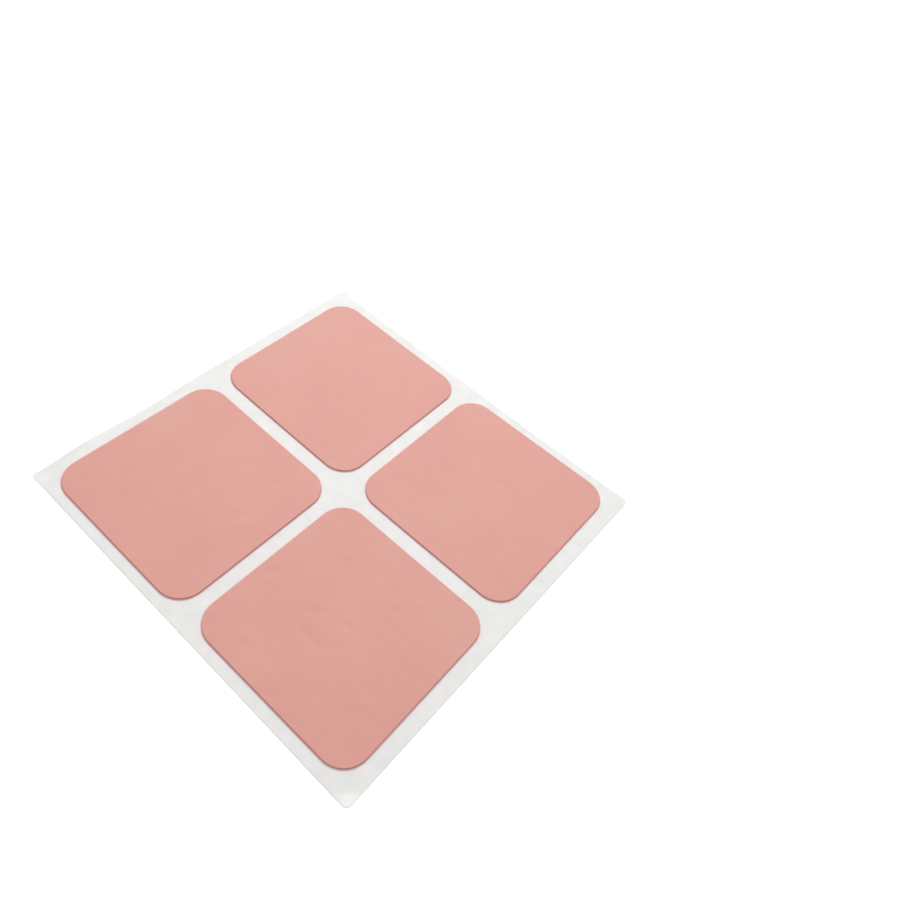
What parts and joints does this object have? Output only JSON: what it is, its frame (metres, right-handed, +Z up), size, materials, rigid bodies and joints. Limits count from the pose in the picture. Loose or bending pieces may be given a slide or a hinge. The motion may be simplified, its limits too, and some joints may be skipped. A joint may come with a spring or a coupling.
{
  "type": "transdermal patch sheet",
  "caption": "Square skin patches with round corners, each a tinted backing film over a drug-in-adhesive layer, laid in a grid on one shared release liner.",
  "frame": {"origin": "centre of the release liner's underside, which is the face that the sheet lies on", "axes": "+Z up out of the liner, through the adhesive and the backing film; +X along the liner's longer side; +Y along its shorter side"},
  "size_m": [0.09, 0.0886, 0.0005],
  "materials": {
    "siliconised_glassine": "satin",
    "drug_in_adhesive": "satin",
    "tinted_backing_film": "satin"
  },
  "bodies": {
    "root": {"release_liner": "siliconised_glassine", "patch_1_adhesive_layer": "drug_in_adhesive", "patch_1_backing_film": "tinted_backing_film", "patch_2_adhesive_layer": "drug_in_adhesive", "patch_2_backing_film": "tinted_backing_film", "patch_3_adhesive_layer": "drug_in_adhesive", "patch_3_backing_film": "tinted_backing_film", "patch_4_adhesive_layer": "drug_in_adhesive", "patch_4_backing_film": "tinted_backing_film"}
  },
  "joints": []
}
